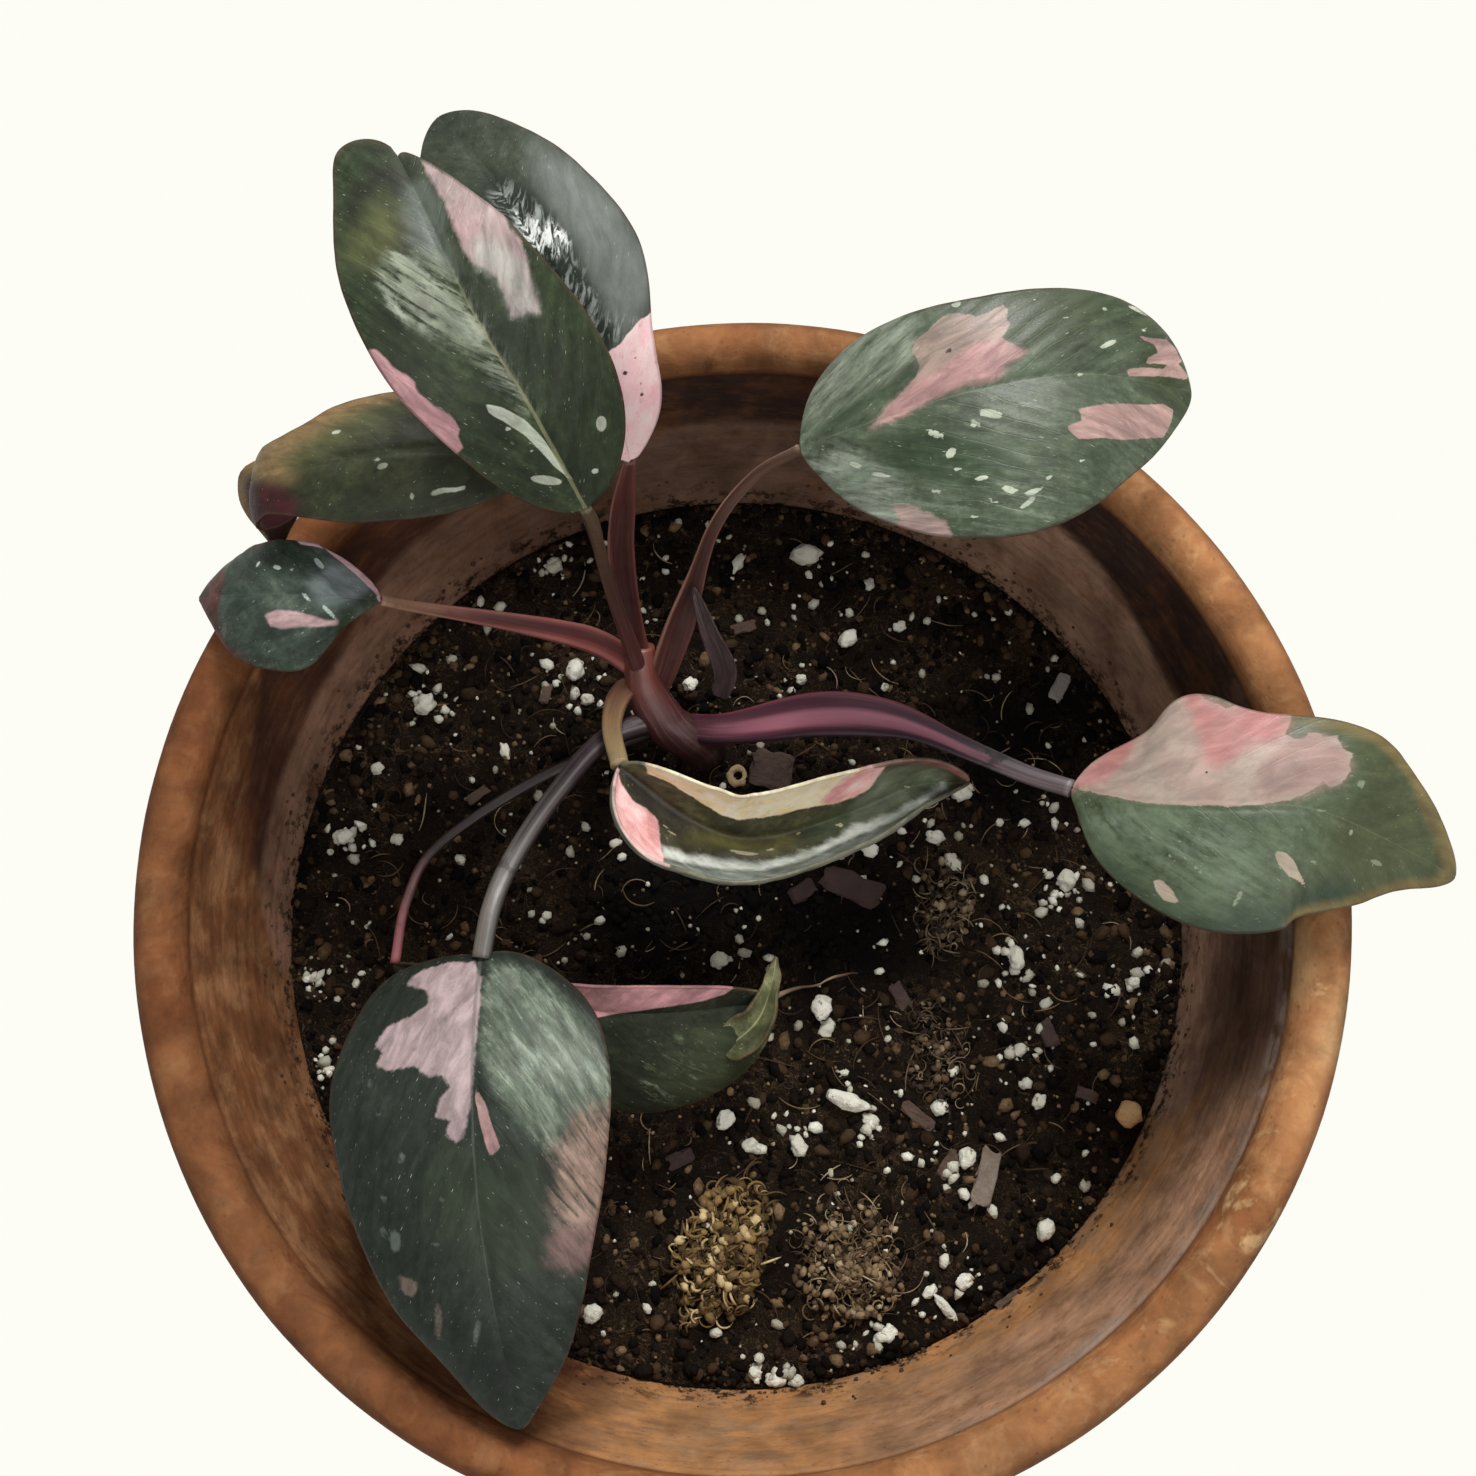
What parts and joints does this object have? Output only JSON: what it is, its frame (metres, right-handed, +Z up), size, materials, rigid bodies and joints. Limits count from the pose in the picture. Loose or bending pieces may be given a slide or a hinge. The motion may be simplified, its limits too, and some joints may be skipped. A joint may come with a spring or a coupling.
{
  "type": "potted philodendron",
  "caption": "Young philodendron with pink and green variegated leaves, set in dark soil in a round tapered clay pot with a collar and a thick rounded lip.",
  "frame": {"origin": "centre of the pot's underside, on the pot's axis, where it rests", "axes": "+Z up along the pot's axis; the leaf that reaches over the rim points along +X"},
  "size_m": [0.193, 0.191, 0.2147],
  "materials": {
    "clay": "unglazed fired clay, matte, darker and damp inside",
    "soil": "loose damp potting mix of peat and bark with white perlite",
    "stalk": "smooth burgundy plant stalk, semi-gloss",
    "dry_sheath": "dry papery sheath, matte",
    "leaf_dark": "waxy dark green leaf with pink and cream variegation, satin",
    "leaf_glossy": "waxy dark green leaf with a pink foot, glossy",
    "leaf_olive": "olive leaf with a burgundy underside, satin",
    "leaf_green": "mid green marbled leaf with pink patches, satin",
    "leaf_young": "young cream and olive leaf with pink edges, satin"
  },
  "bodies": {
    "root": {"pot": "clay", "soil": "soil", "stem_and_stalks": "stalk", "dry_sheath": "dry_sheath", "leaf_upper_left": "leaf_dark", "leaf_rear": "leaf_glossy", "leaf_far_left": "leaf_olive", "leaf_small_left": "leaf_dark", "leaf_upper_right": "leaf_green", "leaf_right": "leaf_green", "leaf_young": "leaf_young", "leaf_front_left": "leaf_dark", "leaf_low_front": "leaf_green"}
  },
  "joints": []
}
